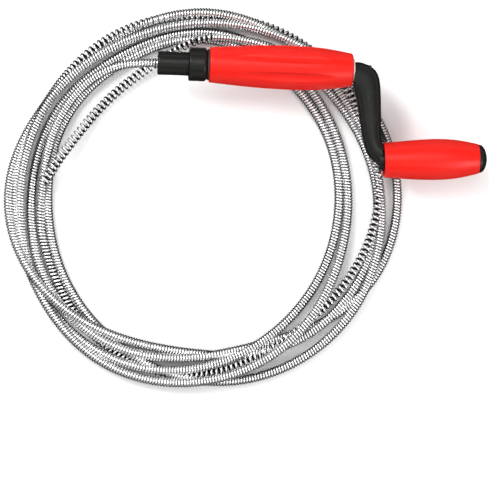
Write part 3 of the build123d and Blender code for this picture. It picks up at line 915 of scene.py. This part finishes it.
class AUGER_OT_mouldings(bpy.types.Operator):
    """Make the black mouldings: nozzle, collar, crank arm and end cap"""

    bl_idname = "auger.mouldings"
    bl_label = "Black mouldings"

    def execute(self, context):
        self.make_nozzle()
        self.make_collar()
        self.make_end_cap()
        self.make_arm()
        return {"FINISHED"}

    def make_nozzle(self):
        """Tube with a slight waist, a rounded lip and a bore that clears the cable."""
        front, rear, radius = reach("nozzle", HANDLE)
        _, _, socket = reach("cable_ferrule", HANDLE)
        throat, step = 0.0044, front + 0.008
        waist, waist_depth = front + 0.4 * (rear - front), 0.00015
        foot, foot_depth = rear - 0.0025, 0.0001
        corners = [
            (front, throat, 0.0006), (front, radius, 0.0013), (waist, radius - waist_depth, 0),
            (foot, radius - foot_depth, 0), (rear, radius, 0.0003), (rear, socket, 0),
            (step, socket, 0), (step, throat, 0),
        ]
        revolve_profile(
            "nozzle_tube", HANDLE, rounded(corners), 96, "root", "black_plastic",
            black_plastic(), "nozzle")

    def make_collar(self):
        """Ring with a rounded front edge and a chamfered rear edge."""
        _, rear, radius = reach("front_collar", HANDLE)
        _, front, _ = reach("nozzle", HANDLE)
        bore, gap = 0.0046, 0.0001
        chamfer_run, chamfer_rise = 0.0024, 0.0022
        corners = [
            (front + gap, bore, 0), (front + gap, radius, 0.0011),
            (rear - chamfer_run, radius, 0.0007), (rear, radius - chamfer_rise, 0.0006),
            (rear, bore, 0),
        ]
        revolve_profile(
            "collar_ring", HANDLE, rounded(corners, 8), 128, "root", "black_plastic",
            black_plastic(), "front_collar")

    def make_end_cap(self):
        """Dome whose radius is the root of one less the height's share to the power 2.2."""
        front, rear, radius = reach("crank_end_cap", SPINDLE)
        plug_length, plug_r, centre_r = 0.004, 0.0095, 0.0002
        fullness, smallest_share = 2.2, 0.0004
        tip = (rear - 0.00001, 0.0001)
        base = front + plug_length
        share = np.linspace(0, 1, 22)
        dome = np.stack([
            base + (rear - base) * share,
            radius * np.sqrt(np.maximum(1 - share ** fullness, smallest_share))], -1)
        plug = [(base, plug_r), (front, plug_r), (front, centre_r)]
        profile = np.concatenate([dome, [tip], plug[::-1]])
        revolve_profile(
            "end_cap_dome", SPINDLE, profile, 96, "crank_grip_body", "black_plastic",
            black_plastic(), "crank_end_cap")

    def make_arm(self):
        """Swan-neck limb of superellipse sections, with its gusset and snout.

        The sections' two ends follow smooth cubics. Across a section a point is at half the
        width times cos a to the power 2/n, and half the thickness times sin a to that power.
        """
        outer_ends = np.array([
            (52.0, 6.6), (57.0, 6.4), (62.6, 4.8), (68.4, 1.2), (72.0, -5.0), (73.6, -14.0),
            (74.5, -28.0), (75.0, -42.0), (75.4, -51.0), (75.9, -56.0), (76.4, -57.2),
        ]) * MM
        inner_ends = np.array([
            (52.0, -15.3), (52.6, -17.2), (53.4, -20.0), (54.4, -23.5), (55.3, -27.5),
            (56.3, -33.0), (58.0, -42.5), (60.0, -52.5), (62.4, -61.5), (67.0, -70.2), (77.3, -77.6),
        ]) * MM
        thicknesses = np.array([18.0, 17.4, 17.0, 16.6, 16.2, 16.0, 15.6, 15.4, 15.6, 16.2, 16.8]) * MM
        squareness = 2.3
        knots = np.arange(len(outer_ends), dtype=float)
        at = np.linspace(0, knots[-1], 90)
        outer = smooth_through(knots, outer_ends, at)
        inner = smooth_through(knots, inner_ends, at)
        thick = smooth_through(knots, thicknesses, at)
        columns = 56
        angle = np.linspace(0, TAU, columns, endpoint=False)
        power = 2 / squareness
        c = np.sign(np.cos(angle)) * np.abs(np.cos(angle)) ** power
        s = np.sign(np.sin(angle)) * np.abs(np.sin(angle)) ** power
        middle = (outer + inner) / 2
        half = (outer - inner) / 2
        flat = middle[:, None] + half[:, None] * c[None, :, None]
        lift = thick[:, None] / 2 * s[None, :]
        limb = np.concatenate([flat, lift[..., None]], -1).reshape(-1, 3)
        faces = grid_faces(len(at), columns, False)
        faces.append(list(range(columns))[::-1])
        faces.append(list(range((len(at) - 1) * columns, len(at) * columns)))
        points = to_row(HANDLE, limb)
        gusset, gusset_faces = self.gusset_shell(len(points))
        points = np.concatenate([points, gusset])
        faces += gusset_faces
        snout, snout_faces = self.snout_shell(len(points))
        points = np.concatenate([points, snout])
        faces += snout_faces
        make_object(
            "crank_arm_moulding", points, faces, "root", "black_plastic", black_plastic(),
            "crank_arm")

    def gusset_shell(self, first):
        """Web between limb and grip: an outline lifted to half its thickness, closed by a rim.

        Rings of the outline are drawn in towards its middle as they rise, by a quarter circle.
        """
        outline = np.array([
            (74.0, -41.0), (75.4, -44.6), (77.4, -49.0), (79.4, -53.2), (80.9, -55.9), (80.6, -56.4),
            (77.2, -56.6), (74.0, -56.8), (71.0, -56.0), (69.5, -50.0), (71.0, -44.0),
        ]) * MM
        centre = outline.mean(0)
        half, drawn_in = 0.0036, 0.12
        turn = np.linspace(-np.pi / 2, np.pi / 2, 9)
        rings = []
        for t in turn:
            drawn = centre + (outline - centre) * (1 - drawn_in * (1 - np.cos(t)))
            rings.append(np.column_stack([drawn, np.full(len(outline), half * np.sin(t))]))
        points = to_row(HANDLE, np.concatenate(rings))
        columns = len(outline)
        faces = grid_faces(len(turn), columns, False, first)
        faces.append([first + k for k in range(columns)][::-1])
        faces.append([first + (len(turn) - 1) * columns + k for k in range(columns)])
        return points, [face[::-1] for face in faces]

    def snout_shell(self, first):
        """Round end inside the crank grip's mouth, with its pin bore left closed."""
        radius, bore, front, rear = 0.0085, 0.0031, -0.004, 0.016
        profile = rounded([
            (front, bore, 0), (front, radius, 0.0008), (rear, radius, 0.001), (rear, bore, 0)])
        steps = 64
        angle = np.linspace(0, TAU, steps, endpoint=False)
        x = np.repeat(profile[:, :1], steps, 1)
        r = np.repeat(profile[:, 1:], steps, 1)
        local = np.stack([x, r * np.cos(angle), r * np.sin(angle)], -1).reshape(-1, 3)
        return to_row(SPINDLE, local), grid_faces(len(profile), steps, True, first)


class AUGER_OT_hardware(bpy.types.Operator):
    """Give the shafts, pins, bushes and washers their finishes"""

    bl_idname = "auger.hardware"
    bl_label = "Hardware finishes"

    def execute(self, context):
        slots = {row["node"]: row["material_slot"] for row in frame["record"]["subparts"]}
        for node, piece in frame["nodes"].items():
            make_finish = FINISHES.get(slots[node])
            if make_finish is None:
                continue
            piece.data.materials.clear()
            piece.data.materials.append(make_finish())
        return {"FINISHED"}


class AUGER_PT_panel(bpy.types.Panel):
    """Sizes, colours and steps of the drain auger"""

    bl_label = "Drain auger"
    bl_idname = "AUGER_PT_panel"
    bl_space_type = "VIEW_3D"
    bl_region_type = "UI"
    bl_category = "Auger"

    def draw(self, context):
        for group in ("auger_cable", "auger_grips", "auger_finish", "auger_stage"):
            settings = getattr(context.scene, group)
            box = self.layout.box()
            for name in settings.bl_rna.properties.keys():
                if name not in ("rna_type", "name"):
                    box.prop(settings, name)
        for step in STEPS:
            self.layout.operator(step.bl_idname)


SETTINGS = {
    "auger_cable": CableSettings,
    "auger_grips": GripSettings,
    "auger_finish": FinishSettings,
    "auger_stage": StageSettings,
}
STEPS = (AUGER_OT_stage, AUGER_OT_cable, AUGER_OT_grips, AUGER_OT_mouldings, AUGER_OT_hardware)


def register():
    for cls in (*SETTINGS.values(), *STEPS, AUGER_PT_panel):
        bpy.utils.register_class(cls)
    for name, cls in SETTINGS.items():
        setattr(bpy.types.Scene, name, bpy.props.PointerProperty(type=cls))


def unregister():
    for name in SETTINGS:
        delattr(bpy.types.Scene, name)
    for cls in reversed((*SETTINGS.values(), *STEPS, AUGER_PT_panel)):
        bpy.utils.unregister_class(cls)


def main():
    """Registers the add-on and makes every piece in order."""
    register()
    bpy.ops.auger.stage()
    bpy.ops.auger.cable()
    bpy.ops.auger.grips()
    bpy.ops.auger.mouldings()
    bpy.ops.auger.hardware()


if __name__ == "__main__":
    main()
